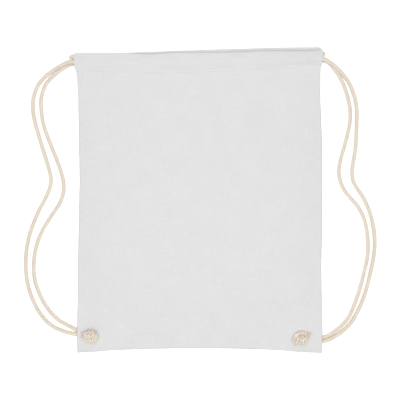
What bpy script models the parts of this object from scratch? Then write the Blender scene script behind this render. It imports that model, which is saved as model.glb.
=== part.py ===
"""Cotton drawstring backpack, lying flat on its back with its mouth towards +Y.

Two cloth panels are sewn together along both sides and the bottom. Each panel ends at the mouth in a casing, a
flat tunnel that is open at both ends. Two cords close the mouth. Each one runs through the front casing, turns
round outside the far end and comes back through the back casing, and its two free strands lie beside the bag as
a shoulder strap, pass under the bottom corner and come up through an eyelet into one knot.

Metres, +Z up. The origin is on the floor, under the middle of the bag.
"""

import math

import bmesh
import bpy
from mathutils import Vector

# ---------------------------------------------------------------- driving dimensions

CLOTH = 0.0008  # one layer of cotton canvas
GAP = 0.0003  # kept between pieces that touch

BODY_HALF_WIDTH = 0.186
BOTTOM_Y = -0.2263  # the bottom edge at mid width
BOTTOM_CORNER_DROP = 0.0057  # the bottom corners hang lower than mid width
BODY_LOFT = 0.009  # how far the front panel stands off the back panel at mid width
HINGE_Y = -0.155  # the front panel opens about this line
HINGE_CLEARANCE = 0.0004

CASING_HALF_LENGTH = 0.188
CASING_THICKNESS = 0.0089
CASING_HEM_RADIUS = 0.0016
CASING_FOLD_RADIUS = 0.0035
MOUTH_GAP = 0.0058  # between the two casings at mid width
FRONT_CASING_HEM = (0.1965, 0.2086)  # its stitched edge at the left end and the right end
FRONT_CASING_FOLD = (0.2222, 0.2234)
BACK_CASING_HEM = (0.1970, 0.2050)
BACK_CASING_FOLD = (0.2235, 0.2315)

SEAM_ALLOWANCE = 0.0086
PATCH_LEG = 0.100  # the two equal sides of a corner patch

CORD_RADIUS = 0.0025
CORD_SQUEEZED_RADIUS = 0.0016  # where the two cords cross in a casing
CORD_FLOOR_Z = 0.0026
CORD_POINT_SPACING = 0.015
TURN_POINT_SPACING = 0.0035
CORD_END_LEAD = 0.001
CROSSING_HALF_LENGTH = 0.045
SQUEEZE_HALF_LENGTH = 0.075

EYELETS = {"left": Vector((-0.164, -0.207, 0)), "right": Vector((0.156, -0.208, 0))}
SIDE_EXITS = {"left": Vector((-0.190, -0.2013, 0)), "right": Vector((0.190, -0.2119, 0))}
EYELET_BORE_RADIUS = 0.0050
EYELET_BARREL_RADIUS = 0.0056
EYELET_FLANGE_RADIUS = 0.0085
EYELET_FLANGE_THICKNESS = 0.0008
WASHER_THICKNESS = 0.0006
EYELET_BOTTOM_Z = 0.00545
CORNER_LIFT = EYELET_BOTTOM_Z + WASHER_THICKNESS + GAP  # the cords raise the back panel by this much
LIFT_FLAT_RADIUS = 0.0095
LIFT_REACH = 0.038
CORNER_EASE = 0.0008  # the layers lie this much looser on each other where they are lifted
COLUMNS = 22  # across the bag
MIDDLE_COLUMNS = 6  # of them cover the middle, where the cloth is nearly flat
MIDDLE_SHARE_OF_WIDTH = 0.66

KNOTS = {"left": Vector((-0.166, -0.207, 0)), "right": Vector((0.153, -0.208, 0))}
KNOT_HALF_SIZE = Vector((0.0130, 0.0108, 0.0080))
KNOT_FLAT_SHARE = 0.85  # the knot is flat below this share of its half height
NECK_HALF_SIZE = (0.0024, 0.0046)  # the two strands side by side in the bore

# ---------------------------------------------------------------- the shape of the cloth


def ease(t):
    """0 before t = 0, 1 after t = 1, and smooth between."""
    t = min(1.0, max(0.0, t))
    return t * t * (3 - 2 * t)


def between(ends, x):
    """A value that stays at ends[0] on the left half and eases to ends[1] at the right end."""
    return ends[0] + (ends[1] - ends[0]) * ease(x / CASING_HALF_LENGTH)


def arch(x, half_width):
    """1 at mid width, falling to 0 at the sides."""
    return 1 - min(1.0, abs(x) / half_width) ** 4


def distance_to_segment(p, a, b):
    along = b - a
    t = min(1.0, max(0.0, (p - a).dot(along) / along.length_squared))
    return (p - (a + t * along)).length


def distance_to_cords(x, y):
    """How far (x, y) is from the nearer corner's stretch of cord between the side edge and the eyelet."""
    p = Vector((x, y, 0))
    return min(distance_to_segment(p, EYELETS[side], SIDE_EXITS[side]) for side in EYELETS)


def corner_lift(x, y):
    """How far the cords under a bottom corner raise the cloth at (x, y)."""
    beyond = distance_to_cords(x, y) - LIFT_FLAT_RADIUS
    return CORNER_LIFT * (1 - ease(beyond / (LIFT_REACH - LIFT_FLAT_RADIUS)))


def layer_underside(x, y, layer):
    """Height of a cloth layer's underside: 0 is the back panel, 1 is between the panels, 2 is the front panel."""
    looser = CORNER_EASE * (1 - ease((distance_to_cords(x, y) - LIFT_REACH) / 0.010))
    return corner_lift(x, y) + layer * (CLOTH + GAP + looser)


def bottom_edge(x):
    return BOTTOM_Y - BOTTOM_CORNER_DROP * min(1.0, abs(x) / BODY_HALF_WIDTH) ** 2.5


def casing_floor(x, is_front):
    """Height of a casing's flat underside."""
    if not is_front:
        return 0.0
    return CASING_THICKNESS + GAP + MOUTH_GAP * arch(x, CASING_HALF_LENGTH)


def front_underside(x, y):
    """Height of the front panel's underside, which blends into the front casing's underside at the hem."""
    hem = between(FRONT_CASING_HEM, x)
    loft = BODY_LOFT * ease((y - bottom_edge(x)) / 0.110) * ease((distance_to_cords(x, y) - 0.014) / 0.030)
    body = layer_underside(x, y, 2) + loft * arch(x, BODY_HALF_WIDTH)
    share = ease((y - 0.120) / (hem - 0.120))
    return body + (casing_floor(x, True) - body) * share


# ---------------------------------------------------------------- building helpers


def clear_scene():
    for obj in list(bpy.data.objects):
        bpy.data.objects.remove(obj)


def new_collection(name):
    collection = bpy.data.collections.new(name)
    bpy.context.scene.collection.children.link(collection)
    return collection


def new_material(name, colour, roughness, metallic=0.0):
    material = bpy.data.materials.new(name)
    material.use_nodes = True
    shader = material.node_tree.nodes["Principled BSDF"]
    shader.inputs["Base Color"].default_value = (*colour, 1.0)
    shader.inputs["Roughness"].default_value = roughness
    shader.inputs["Metallic"].default_value = metallic
    material.diffuse_color = (*colour, 1.0)
    return material


def add_object(name, data, material, collection):
    obj = bpy.data.objects.new(name, data)
    collection.objects.link(obj)
    if material is not None:
        obj.data.materials.append(material)
    return obj


def mesh_from(bm, name):
    mesh = bpy.data.meshes.new(name)
    bm.to_mesh(mesh)
    bm.free()
    return mesh


def unit_grid(columns, rows):
    """A grid over 0..1 in u and v; the caller moves its vertices."""
    bm = bmesh.new()
    bmesh.ops.create_grid(bm, x_segments=columns, y_segments=rows, size=0.5)
    for v in bm.verts:
        v.co.x += 0.5
        v.co.y += 0.5
    return bm


def cloth_sheet(name, columns, rows, place, material, collection):
    """One layer of cloth whose underside is place(u, v)."""
    bm = unit_grid(columns, rows)
    for v in bm.verts:
        v.co = Vector(place(v.co.x, v.co.y))
    bmesh.ops.remove_doubles(bm, verts=bm.verts, dist=0.00001)
    obj = add_object(name, mesh_from(bm, name), material, collection)
    solidify = obj.modifiers.new("cloth", "SOLIDIFY")
    solidify.thickness = CLOTH
    solidify.offset = 1.0
    return obj


def denser_at_ends(u):
    """Spreads u over -1..1 with wide columns in the middle and narrow ones near the ends."""
    s = 2 * u - 1
    middle = MIDDLE_COLUMNS / COLUMNS
    if abs(s) <= middle:
        return s / middle * MIDDLE_SHARE_OF_WIDTH
    rest = (abs(s) - middle) / (1 - middle)
    return math.copysign(MIDDLE_SHARE_OF_WIDTH + rest * (1 - MIDDLE_SHARE_OF_WIDTH), s)


def body_x(u):
    return BODY_HALF_WIDTH * denser_at_ends(u)


def smooth_route(points, spacing):
    """Points about spacing apart along a smooth curve through the route's own points."""
    p = [Vector(q) for q in points]
    p = [2 * p[0] - p[1]] + p + [2 * p[-1] - p[-2]]
    fine = []
    for a, b, c, d in zip(p, p[1:], p[2:], p[3:]):
        for k in range(16):
            t = k / 16
            fine.append(
                0.5 * (2 * b + (c - a) * t + (2 * a - 5 * b + 4 * c - d) * t**2 + (3 * b - a - 3 * c + d) * t**3)
            )
    fine.append(p[-2])
    reached = [0.0]
    for a, b in zip(fine, fine[1:]):
        reached.append(reached[-1] + (b - a).length)
    count = max(3, round(reached[-1] / spacing) + 1)
    route = []
    k = 0
    for i in range(count):
        want = reached[-1] * i / (count - 1)
        while k < len(fine) - 2 and reached[k + 1] < want:
            k += 1
        share = (want - reached[k]) / max(reached[k + 1] - reached[k], 1e-9)
        route.append(fine[k].lerp(fine[k + 1], min(1.0, share)))
    return route


def square_ends(route, lead):
    """Adds a short step along X at both ends, so that the cord's end faces stand square to the bag's side."""
    outward = math.copysign(lead, route[0].x)
    step = Vector((outward, 0, 0))
    return [route[0], route[0] + step, *route[1:-1], route[-1] + step, route[-1]]


def cord_tube(name, route, material, collection, radii=None):
    """A round cord along the route, with filled ends."""
    curve = bpy.data.curves.new(name, "CURVE")
    curve.dimensions = "3D"
    curve.bevel_depth = CORD_RADIUS
    curve.bevel_resolution = 2
    curve.use_fill_caps = True
    spline = curve.splines.new("POLY")
    spline.points.add(len(route) - 1)
    for i, p in enumerate(route):
        spline.points[i].co = (*p, 1.0)
        spline.points[i].radius = 1.0 if radii is None else radii[i] / CORD_RADIUS
    return add_object(name, curve, material, collection)


def turned(name, profile, steps, material, collection):
    """A ring from a closed profile of (radius, height) points, turned about Z."""
    bm = bmesh.new()
    verts = [bm.verts.new((r, 0, z)) for r, z in profile]
    for a, b in zip(verts, verts[1:] + verts[:1]):
        bm.edges.new((a, b))
    obj = add_object(name, mesh_from(bm, name), material, collection)
    screw = obj.modifiers.new("turn", "SCREW")
    screw.steps = steps
    screw.render_steps = steps
    screw.use_merge_vertices = True
    screw.merge_threshold = 0.00001
    screw.use_smooth_shade = True
    return obj


def drill(obj, centre, radius, cutters):
    """Cuts an upright round hole through obj."""
    bm = bmesh.new()
    bmesh.ops.create_cone(bm, cap_ends=True, segments=16, radius1=radius, radius2=radius, depth=0.06)
    cutter = add_object(f"{obj.name}_hole", mesh_from(bm, f"{obj.name}_hole"), None, cutters)
    cutter.location = centre
    cutter.hide_render = True
    cutter.display_type = "WIRE"
    boolean = obj.modifiers.new("hole", "BOOLEAN")
    boolean.operation = "DIFFERENCE"
    boolean.object = cutter


# ---------------------------------------------------------------- the sub-parts


def make_panels(cotton, parts, cutters):
    """The back panel, the front panel that opens and the front panel's fixed lower strip."""
    lower_rows = 0.55

    def back(u, v):
        x = body_x(u)
        low, top = bottom_edge(x), between(BACK_CASING_HEM, x) - GAP
        if v < lower_rows:
            y = low + (-0.160 - low) * v / lower_rows
        else:
            y = -0.160 + (top + 0.160) * (v - lower_rows) / (1 - lower_rows)
        return x, y, corner_lift(x, y)

    def front_lower(u, v):
        x = body_x(u)
        low = bottom_edge(x)
        y = low + (HINGE_Y - HINGE_CLEARANCE - low) * v
        return x, y, front_underside(x, y)

    def front_upper(u, v):
        x = body_x(u)
        start, top = HINGE_Y + HINGE_CLEARANCE, between(FRONT_CASING_HEM, x) - GAP
        y = start + (top - start) * v
        return x, y, front_underside(x, y)

    back_panel = cloth_sheet("back_panel", COLUMNS, 20, back, cotton, parts)
    lower = cloth_sheet("front_panel_lower", COLUMNS, 11, front_lower, cotton, parts)
    cloth_sheet("front_panel", COLUMNS, 14, front_upper, cotton, parts)
    for side in ("left", "right"):
        drill(back_panel, EYELETS[side], EYELET_BARREL_RADIUS + GAP, cutters)
        drill(lower, EYELETS[side], EYELET_BARREL_RADIUS + GAP, cutters)


def casing_section(corner_points):
    """The casing's rounded outline as unit corners: (hem or fold, floor or top, angle) going round once."""
    section = []
    for quarter, (fold, top) in enumerate(((1, 0), (1, 1), (0, 1), (0, 0))):
        for k in range(corner_points):
            angle = math.radians(-90 + 90 * quarter + 90 * k / (corner_points - 1))
            section.append((fold, top, angle))
    return section


def make_casing(name, is_front, cotton, parts):
    """A flat tunnel along X, open at both ends, with a tight edge at the hem and a rounder one at the fold."""
    hem_ends, fold_ends = (
        (FRONT_CASING_HEM, FRONT_CASING_FOLD) if is_front else (BACK_CASING_HEM, BACK_CASING_FOLD)
    )
    section = casing_section(3)
    bm = unit_grid(18, len(section))
    for v in bm.verts:
        x = CASING_HALF_LENGTH * (2 * v.co.x - 1)
        fold, top, angle = section[round(v.co.y * len(section)) % len(section)]
        radius = CASING_FOLD_RADIUS if fold else CASING_HEM_RADIUS
        edge_y = between(fold_ends, x) - radius if fold else between(hem_ends, x) + radius
        edge_z = CASING_THICKNESS - radius if top else radius
        v.co = (
            x,
            edge_y + radius * math.cos(angle),
            casing_floor(x, is_front) + edge_z + radius * math.sin(angle),
        )
    bmesh.ops.remove_doubles(bm, verts=bm.verts, dist=0.00001)
    bmesh.ops.recalc_face_normals(bm, faces=bm.faces)
    obj = add_object(name, mesh_from(bm, name), cotton, parts)
    solidify = obj.modifiers.new("cloth", "SOLIDIFY")
    solidify.thickness = CLOTH
    solidify.offset = -1.0
    return obj


def make_seams(cotton, parts):
    """The seam allowances, one strip along each side and one along the bottom, between the two panels."""
    edge_inset = 0.0004
    strip_inner = BODY_HALF_WIDTH - edge_inset - SEAM_ALLOWANCE
    top_y = 0.193

    def side_strip(sign):
        def place(u, v):
            across = u if sign > 0 else 1 - u
            x = sign * (strip_inner + SEAM_ALLOWANCE * across)
            low = bottom_edge(x) + edge_inset
            y = low + (top_y - low) * v**1.6
            return x, y, layer_underside(x, y, 1)

        return place

    def bottom_strip(u, v):
        x = (strip_inner - GAP) * denser_at_ends(u)
        y = bottom_edge(x) + edge_inset + SEAM_ALLOWANCE * v
        return x, y, layer_underside(x, y, 1)

    cloth_sheet("left_side_seam", 2, 18, side_strip(-1), cotton, parts)
    cloth_sheet("right_side_seam", 2, 18, side_strip(1), cotton, parts)
    cloth_sheet("bottom_seam", COLUMNS, 2, bottom_strip, cotton, parts)


def make_corner_patches(cotton, parts, cutters):
    """A triangle of cloth in each bottom corner, inside the bag, that backs the eyelet."""
    inset_x = BODY_HALF_WIDTH - 0.0004 - SEAM_ALLOWANCE - GAP

    def triangle(sign):
        def place(u, v):
            x = sign * (inset_x - (PATCH_LEG - 0.009) * u * (1 - v))
            low = bottom_edge(x) + 0.0004 + SEAM_ALLOWANCE + GAP
            y = low + (PATCH_LEG - 0.009) * v
            return x, y, layer_underside(x, y, 1)

        return place

    for side, sign in (("left", -1), ("right", 1)):
        patch = cloth_sheet(f"{side}_corner_patch", 9, 9, triangle(sign), cotton, parts)
        if sign > 0:
            patch.data.flip_normals()
        drill(patch, EYELETS[side], EYELET_BARREL_RADIUS + GAP, cutters)


def make_eyelet(side, metal, parts):
    """A two-piece eyelet: a flanged barrel from the front and a washer behind."""
    flange_bottom = CORNER_LIFT + 3 * (CLOTH + GAP) + 2 * CORNER_EASE
    flange_top = flange_bottom + EYELET_FLANGE_THICKNESS
    soften = 0.0002
    barrel = [
        (EYELET_FLANGE_RADIUS, flange_top - soften),
        (EYELET_FLANGE_RADIUS, flange_bottom),
        (EYELET_BARREL_RADIUS, flange_bottom),
        (EYELET_BARREL_RADIUS, EYELET_BOTTOM_Z),
        (EYELET_BORE_RADIUS, EYELET_BOTTOM_Z),
        (EYELET_BORE_RADIUS, flange_top - soften),
        (EYELET_BORE_RADIUS + soften, flange_top),
        (EYELET_FLANGE_RADIUS - soften, flange_top),
    ]
    washer = [
        (EYELET_FLANGE_RADIUS, EYELET_BOTTOM_Z + WASHER_THICKNESS),
        (EYELET_FLANGE_RADIUS, EYELET_BOTTOM_Z),
        (EYELET_BARREL_RADIUS + GAP, EYELET_BOTTOM_Z),
        (EYELET_BARREL_RADIUS + GAP, EYELET_BOTTOM_Z + WASHER_THICKNESS),
    ]
    for name, profile in ((f"{side}_eyelet", barrel), (f"{side}_eyelet_washer", washer)):
        turned(name, profile, 16, metal, parts).location = EYELETS[side]
    return flange_top


def make_knot(side, bottom_z, cord, parts, cutters):
    """The overhand knot of both strands as one round body, with the neck that goes down through the bore."""
    name = f"{side}_knot"
    bm = bmesh.new()
    bmesh.ops.create_uvsphere(bm, u_segments=14, v_segments=8, radius=1.0)
    for v in bm.verts:
        v.co.z = max(v.co.z, -KNOT_FLAT_SHARE)
        v.co = Vector(a * b for a, b in zip(v.co, KNOT_HALF_SIZE))
    eyelet, centre = EYELETS[side], KNOTS[side]
    middle_z = bottom_z + KNOT_FLAT_SHARE * KNOT_HALF_SIZE.z
    for v in bm.verts:
        v.co += Vector((centre.x - eyelet.x, centre.y - eyelet.y, middle_z))
    bmesh.ops.dissolve_limit(bm, angle_limit=math.radians(0.5), verts=bm.verts, edges=bm.edges)
    knot = add_object(name, mesh_from(bm, name), cord, parts)
    knot.location = eyelet
    neck_top = middle_z
    bm = bmesh.new()
    bmesh.ops.create_cone(
        bm, cap_ends=True, segments=14, radius1=1.0, radius2=1.0, depth=neck_top - EYELET_BOTTOM_Z
    )
    for v in bm.verts:
        v.co.x *= NECK_HALF_SIZE[0]
        v.co.y *= NECK_HALF_SIZE[1]
        v.co.z += (neck_top + EYELET_BOTTOM_Z) / 2
    neck = add_object(f"{side}_neck", mesh_from(bm, f"{side}_neck"), None, cutters)
    neck.location = eyelet
    neck.hide_render = True
    neck.display_type = "WIRE"
    union = knot.modifiers.new("neck", "BOOLEAN")
    union.operation = "UNION"
    union.object = neck


def casing_run(fold_distances, is_front, goes_over):
    """The route and radii of one cord in one casing, at its (left, right) distances from the casing's fold.

    The two cords change sides at mid width. There they are squeezed, and one passes over the other.
    """
    fold_ends = FRONT_CASING_FOLD if is_front else BACK_CASING_FOLD
    route, radii = [], []
    steps = round(2 * CASING_HALF_LENGTH / CORD_POINT_SPACING)
    for i in range(steps + 1):
        x = CASING_HALF_LENGTH * (2 * i / steps - 1)
        share = ease((x + CROSSING_HALF_LENGTH) / (2 * CROSSING_HALF_LENGTH))
        squeeze = 1 - ease((abs(x) - 0.030) / (SQUEEZE_HALF_LENGTH - 0.030))
        radius = CORD_RADIUS - (CORD_RADIUS - CORD_SQUEEZED_RADIUS) * squeeze
        z = casing_floor(x, is_front) + CLOTH + GAP + radius
        if goes_over:
            z += (2 * CORD_SQUEEZED_RADIUS + GAP) * squeeze
        from_fold = fold_distances[0] + (fold_distances[1] - fold_distances[0]) * share
        route.append(Vector((x, between(fold_ends, x) - from_fold, z)))
        radii.append(radius)
    return route, radii


# How far each cord runs from its casing's fold, at the left end and at the right end.
CORD_TO_FOLD = {
    ("left", "front"): (0.0118, 0.0040),
    ("right", "front"): (0.0046, 0.0098),
    ("left", "back"): (0.0141, 0.0075),
    ("right", "back"): (0.0049, 0.0179),
}

# The free strands, from the casing's end down to the bottom corner.
STRAND_ROUTES = {
    "left_outer_strand": (
        (-0.1883, 0.2104, 0.0128), (-0.1935, 0.2106, 0.0123), (-0.2012, 0.2100, 0.0090), (-0.2104, 0.2060, 0.0056),
        (-0.2196, 0.2009, 0.0033), (-0.2287, 0.1946, 0.0026), (-0.2379, 0.1870, 0.0026), (-0.2476, 0.1743, 0.0026),
        (-0.2539, 0.1559, 0.0026), (-0.2546, 0.1375, 0.0026), (-0.2514, 0.1192, 0.0026), (-0.2463, 0.1008, 0.0026),
        (-0.2351, 0.0641, 0.0026), (-0.2290, 0.0440, 0.0026), (-0.2270, 0.0310, 0.0026), (-0.2291, 0.0182, 0.0026),
        (-0.2360, 0.0020, 0.0026), (-0.2465, -0.0180, 0.0026), (-0.2577, -0.0461, 0.0026), (-0.2640, -0.0730, 0.0026),
        (-0.2657, -0.1000, 0.0026), (-0.2632, -0.1250, 0.0026), (-0.2568, -0.1470, 0.0026), (-0.2475, -0.1665, 0.0026),
        (-0.2365, -0.1817, 0.0026), (-0.2240, -0.1928, 0.0026), (-0.2104, -0.1995, 0.0026), (-0.1966, -0.2033, 0.0026),
        (-0.1883, -0.2043, 0.0026),
    ),
    "left_inner_strand": (
        (-0.1883, 0.2094, 0.0036), (-0.1940, 0.2086, 0.0033), (-0.2012, 0.2060, 0.0027), (-0.2104, 0.2002, 0.0026),
        (-0.2196, 0.1930, 0.0026), (-0.2287, 0.1845, 0.0026), (-0.2362, 0.1743, 0.0026), (-0.2418, 0.1559, 0.0026),
        (-0.2417, 0.1375, 0.0026), (-0.2390, 0.1192, 0.0026), (-0.2335, 0.1008, 0.0026), (-0.2191, 0.0641, 0.0026),
        (-0.2118, 0.0440, 0.0026), (-0.2078, 0.0260, 0.0026), (-0.2082, 0.0110, 0.0026), (-0.2140, -0.0050, 0.0026),
        (-0.2260, -0.0240, 0.0026), (-0.2400, -0.0461, 0.0026), (-0.2495, -0.0710, 0.0026), (-0.2534, -0.0980, 0.0026),
        (-0.2515, -0.1220, 0.0026), (-0.2440, -0.1440, 0.0026), (-0.2330, -0.1635, 0.0026), (-0.2196, -0.1790, 0.0026),
        (-0.2070, -0.1888, 0.0026), (-0.1966, -0.1946, 0.0026), (-0.1883, -0.1982, 0.0026),
    ),
    "right_outer_strand": (
        (0.1883, 0.2136, 0.0128), (0.1935, 0.2134, 0.0124), (0.2000, 0.2108, 0.0096), (0.2080, 0.2053, 0.0060),
        (0.2160, 0.1972, 0.0035), (0.2235, 0.1870, 0.0026), (0.2310, 0.1743, 0.0026), (0.2378, 0.1559, 0.0026),
        (0.2405, 0.1375, 0.0026), (0.2405, 0.1192, 0.0026), (0.2398, 0.1008, 0.0026), (0.2388, 0.0800, 0.0026),
        (0.2362, 0.0630, 0.0026), (0.2336, 0.0457, 0.0026), (0.2346, 0.0310, 0.0026), (0.2416, 0.0182, 0.0026),
        (0.2515, 0.0030, 0.0026), (0.2595, -0.0150, 0.0026), (0.2653, -0.0380, 0.0026), (0.2677, -0.0644, 0.0026),
        (0.2660, -0.0900, 0.0026), (0.2605, -0.1150, 0.0026), (0.2544, -0.1379, 0.0026), (0.2475, -0.1570, 0.0026),
        (0.2394, -0.1746, 0.0026), (0.2310, -0.1870, 0.0026), (0.2214, -0.1958, 0.0026), (0.2120, -0.2036, 0.0026),
        (0.2025, -0.2096, 0.0026), (0.1940, -0.2136, 0.0026), (0.1883, -0.2152, 0.0026),
    ),
    "right_inner_strand": (
        (0.1883, 0.2136, 0.0036), (0.1940, 0.2120, 0.0033), (0.2010, 0.2063, 0.0027), (0.2080, 0.1986, 0.0026),
        (0.2145, 0.1904, 0.0026), (0.2192, 0.1820, 0.0026), (0.2222, 0.1735, 0.0026), (0.2273, 0.1559, 0.0026),
        (0.2305, 0.1375, 0.0026), (0.2300, 0.1192, 0.0026), (0.2261, 0.1008, 0.0026), (0.2212, 0.0800, 0.0026),
        (0.2158, 0.0630, 0.0026), (0.2134, 0.0457, 0.0026), (0.2152, 0.0310, 0.0026), (0.2210, 0.0175, 0.0026),
        (0.2310, 0.0040, 0.0026), (0.2421, -0.0093, 0.0026), (0.2520, -0.0290, 0.0026), (0.2573, -0.0540, 0.0026),
        (0.2576, -0.0810, 0.0026), (0.2535, -0.1030, 0.0026), (0.2470, -0.1280, 0.0026), (0.2400, -0.1510, 0.0026),
        (0.2315, -0.1725, 0.0026), (0.2240, -0.1840, 0.0026), (0.2170, -0.1920, 0.0026), (0.2088, -0.1986, 0.0026),
        (0.1999, -0.2040, 0.0026), (0.1930, -0.2073, 0.0026), (0.1883, -0.2086, 0.0026),
    ),
}

# From the bottom corner's edge to the underside of the eyelet.
UNDER_BAG_ROUTES = {
    "left_outer_cord_end": ((-0.1880, -0.2043), (-0.1870, -0.2043), (-0.1760, -0.2068), (-0.1620, -0.2098)),
    "left_inner_cord_end": ((-0.1880, -0.1982), (-0.1870, -0.1982), (-0.1760, -0.2014), (-0.1620, -0.2043)),
    "right_outer_cord_end": ((0.1880, -0.2152), (0.1870, -0.2152), (0.1720, -0.2126), (0.1540, -0.2108)),
    "right_inner_cord_end": ((0.1880, -0.2086), (0.1870, -0.2086), (0.1720, -0.2066), (0.1540, -0.2053)),
}

# Each cord turns round outside the far end of the casings, from the front one into the back one.
TURN_ROUTES = {
    "left_cord_turn": (
        (0.1883, 0.2194, 0.0128), (0.1912, 0.2198, 0.0126), (0.1939, 0.2207, 0.0108), (0.1947, 0.2217, 0.0082),
        (0.1939, 0.2227, 0.0056), (0.1912, 0.2236, 0.0038), (0.1883, 0.2240, 0.0036),
    ),
    "right_cord_turn": (
        (-0.1883, 0.2176, 0.0128), (-0.1916, 0.2177, 0.0127), (-0.1946, 0.2179, 0.0110), (-0.1957, 0.2181, 0.0082),
        (-0.1946, 0.2183, 0.0054), (-0.1916, 0.2185, 0.0037), (-0.1883, 0.2186, 0.0036),
    ),
}


def make_cords(cord, parts):
    """Both cords, whole along their route: in the casings, round the turns, beside the bag and under its corners."""
    for (side, casing), fold_distances in CORD_TO_FOLD.items():
        route, radii = casing_run(fold_distances, casing == "front", side == "right")
        cord_tube(f"{side}_cord_in_{casing}_casing", route, cord, parts, radii)
    for name, points in TURN_ROUTES.items():
        route = smooth_route(points, TURN_POINT_SPACING)
        cord_tube(name, square_ends(route, CORD_END_LEAD), cord, parts)
    for name, points in STRAND_ROUTES.items():
        route = smooth_route(points, CORD_POINT_SPACING)
        cord_tube(name, square_ends(route, CORD_END_LEAD), cord, parts)
    for name, points in UNDER_BAG_ROUTES.items():
        route = [Vector((x, y, CORD_FLOOR_Z)) for x, y in points]
        cord_tube(name, route, cord, parts)


def main():
    clear_scene()
    parts = new_collection("drawstring_backpack")
    cutters = new_collection("cutters")
    cotton = new_material("cotton", (0.78, 0.78, 0.79), 0.9)
    cord = new_material("cord", (0.78, 0.68, 0.54), 0.9)
    metal = new_material("metal", (0.62, 0.61, 0.58), 0.35, 1.0)

    make_panels(cotton, parts, cutters)
    make_casing("front_casing", True, cotton, parts)
    make_casing("back_casing", False, cotton, parts)
    make_seams(cotton, parts)
    make_corner_patches(cotton, parts, cutters)
    for side in ("left", "right"):
        flange_top = make_eyelet(side, metal, parts)
        make_knot(side, flange_top + GAP, cord, parts, cutters)
    make_cords(cord, parts)


main()
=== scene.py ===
import math

import bpy
import numpy as np
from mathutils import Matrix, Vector


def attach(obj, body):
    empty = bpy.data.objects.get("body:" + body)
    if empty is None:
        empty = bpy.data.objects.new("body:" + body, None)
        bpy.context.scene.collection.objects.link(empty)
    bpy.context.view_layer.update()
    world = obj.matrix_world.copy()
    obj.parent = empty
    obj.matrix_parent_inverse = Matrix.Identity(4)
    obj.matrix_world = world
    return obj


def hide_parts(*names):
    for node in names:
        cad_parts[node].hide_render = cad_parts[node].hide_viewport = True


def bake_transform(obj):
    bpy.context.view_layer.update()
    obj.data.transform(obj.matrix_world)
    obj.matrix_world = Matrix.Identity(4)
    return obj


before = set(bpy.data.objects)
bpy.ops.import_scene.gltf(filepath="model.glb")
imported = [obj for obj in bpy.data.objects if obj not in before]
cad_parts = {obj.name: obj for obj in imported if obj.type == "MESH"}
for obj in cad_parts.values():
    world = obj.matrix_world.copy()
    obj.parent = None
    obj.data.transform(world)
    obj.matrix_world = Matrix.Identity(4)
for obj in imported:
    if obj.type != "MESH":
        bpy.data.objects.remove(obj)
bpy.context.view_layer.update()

# ---- the bag's dimensions, in metres

MM = 0.001
SIDES = {"left": -1, "right": 1}
CLOTH = 0.0008
CASING_CLOTH = 0.0007
GAP = 0.0003
BODY_HALF_WIDTH = 0.186
BODY_LOFT = 0.009
HINGE_Y = -0.155
CASING_HALF_LENGTH = 0.188
CASING_THICKNESS = 0.0089
MOUTH_GAP = 0.0058
FRONT_FOLD = (0.2222, 0.2234)
BACK_HEM = (0.1970, 0.2050)
BACK_FOLD = (0.2235, 0.2315)
CASING_LEFT_END = -0.1908
CASING_RIGHT_END = 0.1857
SEAM_ALLOWANCE = 0.0086
PATCH_LEG = 0.100
CORD_RADIUS = 0.0025
FREE_CORD_RADIUS = 0.00280
SQUEEZED_RADIUS = 0.0016
EYELETS = {"left": (-0.164, -0.207), "right": (0.156, -0.208)}
SIDE_EXITS = {"left": (-0.190, -0.2013), "right": (0.190, -0.2119)}
KNOTS = {"left": (-0.1658, -0.2062), "right": (0.1533, -0.2082)}
HOLE_RADIUS = 0.0060
FLANGE_TOP = 0.01205
# The bag's bottom corners lie on the cords that run under them to the eyelets.
CORNER_HEIGHT = 0.00635
CORNER_FLAT = 0.0095
CORNER_SLOPE = 0.0285
LOOSE_LAYER = 0.0008


def ease(t):
    t = np.clip(t, 0.0, 1.0)
    return t * t * (3 - 2 * t)


def between(ends, x):
    return ends[0] + (ends[1] - ends[0]) * ease(x / CASING_HALF_LENGTH)


def crossing(x):
    """1 where the two cords cross in the middle of a casing, and 0 outside that."""
    return 1 - ease((np.abs(x) - 0.030) / 0.045)


def along_line(line):
    """The distance from a line's start to each of its points."""
    return np.concatenate([[0], np.cumsum(np.linalg.norm(np.diff(line, axis=0), axis=1))])


def mirrored(half):
    """Positions from -1 to 1, from those between 0 and 1."""
    return np.concatenate([-half[:0:-1], half])


def arch(x, half_width):
    return 1 - np.minimum(1.0, np.abs(x) / half_width) ** 4


def segment_distance(x, y, a, b):
    ax, ay = b[0] - a[0], b[1] - a[1]
    t = np.clip(((x - a[0]) * ax + (y - a[1]) * ay) / (ax * ax + ay * ay), 0, 1)
    return np.hypot(x - a[0] - t * ax, y - a[1] - t * ay)


def distance_to_cords(x, y):
    return np.minimum(*[segment_distance(x, y, EYELETS[s], SIDE_EXITS[s]) for s in EYELETS])


def corner_lift(x, y):
    return CORNER_HEIGHT * (1 - ease((distance_to_cords(x, y) - CORNER_FLAT) / CORNER_SLOPE))


def layer_underside(x, y, layer):
    looser = LOOSE_LAYER * (1 - ease((distance_to_cords(x, y) - CORNER_FLAT - CORNER_SLOPE) / 0.010))
    return corner_lift(x, y) + layer * (CLOTH + GAP + looser)


def bottom_edge(x):
    corners = -0.2263 - 0.0057 * np.minimum(1.0, np.abs(x) / BODY_HALF_WIDTH) ** 2.5
    return corners + 0.0008 * np.exp(-((x / 0.080) ** 2)) - 0.0008 * np.exp(-(((x - 0.150) / 0.030) ** 2))


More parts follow.
